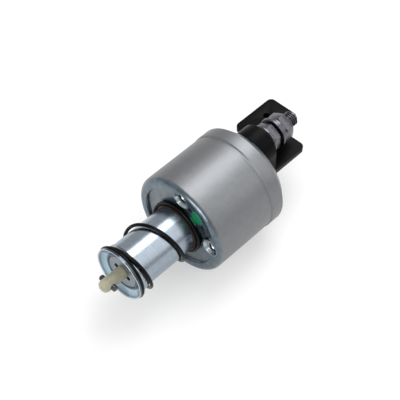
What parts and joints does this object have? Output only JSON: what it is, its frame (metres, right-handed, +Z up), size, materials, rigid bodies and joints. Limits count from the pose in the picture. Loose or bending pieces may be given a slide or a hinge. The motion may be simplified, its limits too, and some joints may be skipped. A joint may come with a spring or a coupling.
{
  "type": "starter solenoid",
  "caption": "Starter motor solenoid: steel can with a spring loaded plunger and pull rod in front, moulded cap with threaded terminal studs and a divider behind.",
  "frame": {"origin": "where the plunger's axis crosses the front mounting face", "axes": "+X along the solenoid's axis towards the terminals, +Z up through the battery stud"},
  "size_m": [0.1441, 0.0546, 0.0546],
  "materials": {
    "zinc_steel": "satin zinc plated steel, bluish on the front face",
    "bright_zinc": "bright zinc plated, turned",
    "blue_zinc": "blue passivated zinc",
    "grey_zinc": "dull zinc plated",
    "pin_steel": "ground steel",
    "bare_steel": "bare turned steel",
    "bare_spring": "drawn spring steel",
    "black_spring": "black phosphated spring steel",
    "brass": "tarnished brass",
    "bare_copper": "bare copper",
    "enamelled_copper": "enamelled copper wire",
    "tinned_brass": "tinned brass",
    "ivory_nylon": "natural ivory nylon",
    "bobbin_nylon": "glass filled nylon",
    "fibre": "pressed fibre",
    "black_plastic": "satin black phenolic moulding",
    "black_rubber": "nitrile rubber"
  },
  "bodies": {
    "housing": {"case": "zinc_steel", "guide_sleeve": "brass", "front_insulator": "fibre", "bobbin": "bobbin_nylon", "pull_in_winding": "enamelled_copper", "hold_in_winding": "enamelled_copper", "fixed_core": "bare_steel", "cap_seal": "black_rubber", "terminal_cap": "black_plastic", "battery_stud": "grey_zinc", "motor_stud": "grey_zinc", "stud_seals": "black_rubber", "boss_washers": "grey_zinc", "jam_nuts": "grey_zinc", "cable_washers": "grey_zinc", "spring_washers": "grey_zinc", "terminal_nuts": "grey_zinc", "trigger_terminal": "tinned_brass", "hold_in_lead": "enamelled_copper", "pull_in_lead": "enamelled_copper", "return_spring": "black_spring", "contact_return_spring": "bare_spring"},
    "plunger": {"plunger": "bright_zinc", "spring_cup": "blue_zinc", "meshing_spring": "bare_spring"},
    "pull_rod": {"pull_rod": "ivory_nylon", "cross_pin": "pin_steel", "meshing_spring_washer": "bare_steel"},
    "contact_rod": {"contact_rod": "bare_steel", "retaining_clip": "bare_steel", "contact_pressure_spring": "bare_spring"},
    "contact_bridge": {"contact_disc": "bare_copper", "contact_bush": "bobbin_nylon"}
  },
  "joints": [
    {"name": "plunger_slide", "type": "slide", "parent": "housing", "child": "plunger", "axis": [1, 0, 0], "range_m": [0, 0.011], "stiffness_N_per_m": 1500, "springref_m": -0.012, "deforming": ["return_spring"]},
    {"name": "pull_rod_slide", "type": "slide", "parent": "plunger", "child": "pull_rod", "axis": [-1, 0, 0], "range_m": [0, 0.005], "stiffness_N_per_m": 4000, "springref_m": -0.004, "deforming": ["meshing_spring"]},
    {"name": "contact_rod_slide", "type": "slide", "parent": "housing", "child": "contact_rod", "axis": [1, 0, 0], "range_m": [0, 0.0026], "deforming": ["contact_return_spring"]},
    {"name": "contact_bridge_slide", "type": "slide", "parent": "contact_rod", "child": "contact_bridge", "axis": [-1, 0, 0], "range_m": [0, 0.0006], "deforming": ["contact_pressure_spring"]}
  ],
  "couplings": [
    {"joint": "contact_rod_slide", "follows": "plunger_slide", "ratio": 0.23636},
    {"joint": "contact_bridge_slide", "follows": "plunger_slide", "ratio": 0.054545}
  ]
}
